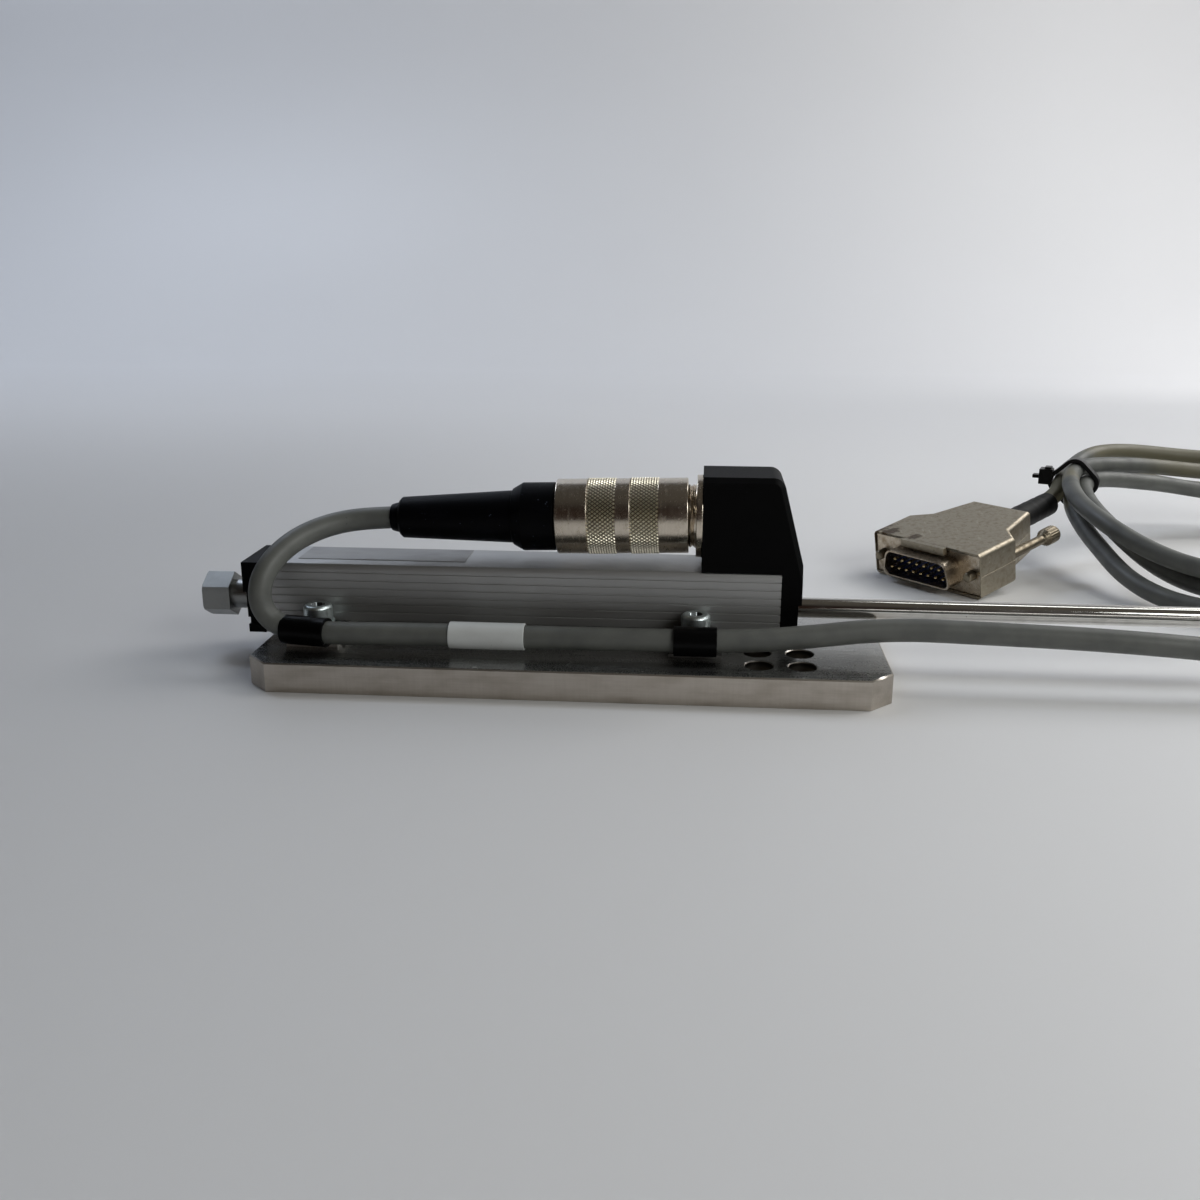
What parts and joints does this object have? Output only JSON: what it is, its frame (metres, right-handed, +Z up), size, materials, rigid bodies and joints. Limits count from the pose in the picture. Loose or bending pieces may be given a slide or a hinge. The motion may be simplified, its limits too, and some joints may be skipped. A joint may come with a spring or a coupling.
{
  "type": "linear position sensor",
  "caption": "Spring-return linear position sensor: square profile with push rod and ball tip, clamped to a steel plate, with a round screw plug, clipped cable and loose end connector.",
  "frame": {"origin": "middle of the base plate's underside", "axes": "+X along the rod towards its ball tip, +Z up from the plate, +Y away from the clipped cable"},
  "size_m": [0.3855, 0.2067, 0.0481],
  "materials": {
    "ground_plate": "ground and nickelled, fine lines",
    "anodised_profile": "satin anodised, fluted sides",
    "black_moulding": "matt black",
    "zinc_screws": "zinc plated",
    "clamp_sheet": "zinc plated sheet",
    "bronze_bush": "sintered",
    "seal_rubber": "matt",
    "track_board": "printed resistance track",
    "type_film": "bare satin film",
    "polished_rod": "polished stainless",
    "stop_metal": "matt grey",
    "spring_steel": "bright wire",
    "carrier_plastic": "moulded",
    "contact_metal": "gold plated",
    "clip_nylon": "black nylon",
    "plated_metal": "nickel plated brass",
    "insert_plastic": "black moulded insulation",
    "boot_plastic": "satin black",
    "cable_jacket": "grey soft jacket",
    "tag_film": "white sleeve",
    "shrink_rubber": "matt black",
    "shell_plating": "tinned pressing",
    "hood_casting": "tarnished plating on die casting",
    "lock_steel": "nickelled steel"
  },
  "bodies": {
    "sensor": {"base_plate": "ground_plate", "housing_profile": "anodised_profile", "rear_cap": "black_moulding", "front_head": "black_moulding", "cap_screws_rear": "zinc_screws", "cap_screws_front": "zinc_screws", "clamp_screws": "zinc_screws", "clamp_washers": "zinc_screws", "clamp_front_left": "clamp_sheet", "clamp_front_right": "clamp_sheet", "clamp_back_left": "clamp_sheet", "clamp_back_right": "clamp_sheet", "rear_bush": "bronze_bush", "front_bush": "bronze_bush", "rear_wiper": "seal_rubber", "front_wiper": "seal_rubber", "resistance_element": "track_board", "type_plate": "type_film", "return_spring": "spring_steel", "socket_pins": "contact_metal", "connector_pins": "contact_metal", "cable_clip_left": "clip_nylon", "cable_clip_right": "clip_nylon", "cable_tie": "clip_nylon", "plug_body": "plated_metal", "socket_shell": "plated_metal", "socket_insert": "insert_plastic", "plug_insert": "insert_plastic", "connector_insulator": "insert_plastic", "rear_sleeve": "boot_plastic", "cable_boot": "boot_plastic", "sensor_cable": "cable_jacket", "cable_coil": "cable_jacket", "plug_lead": "cable_jacket", "cable_tag": "tag_film", "shrink_sleeve": "shrink_rubber", "connector_shell": "shell_plating", "hood_upper": "hood_casting", "hood_lower": "hood_casting", "hood_screws": "lock_steel"},
    "rod": {"push_rod": "polished_rod", "ball_tip": "polished_rod", "rear_stop": "stop_metal", "stop_buffer": "seal_rubber", "retaining_rings": "spring_steel", "wiper_carrier": "carrier_plastic", "wiper_contacts": "contact_metal"},
    "coupling_ring": {"coupling_ring": "plated_metal"},
    "thumbscrew_left": {"thumbscrew_left": "lock_steel"},
    "thumbscrew_right": {"thumbscrew_right": "lock_steel"}
  },
  "joints": [
    {"name": "rod_slide", "type": "slide", "parent": "sensor", "child": "rod", "axis": [1, 0, 0], "range_m": [-0.08, 0], "stiffness_N_per_m": 40, "springref_m": 0.02, "deforming": ["return_spring"]},
    {"name": "ring_turn", "type": "hinge", "parent": "sensor", "child": "coupling_ring", "pos_m": [0.0239, 0, 0.0371], "axis": [0.9997, 0, 0.0262], "continuous": true},
    {"name": "thumbscrew_left_turn", "type": "hinge", "parent": "sensor", "child": "thumbscrew_left", "pos_m": [0.08947, 0.08727, 0.0073], "axis": [0.7421, 0.6451, 0.1822], "continuous": true},
    {"name": "thumbscrew_right_turn", "type": "hinge", "parent": "sensor", "child": "thumbscrew_right", "pos_m": [0.11133, 0.06213, 0.0073], "axis": [0.7421, 0.6451, 0.1822], "continuous": true}
  ]
}
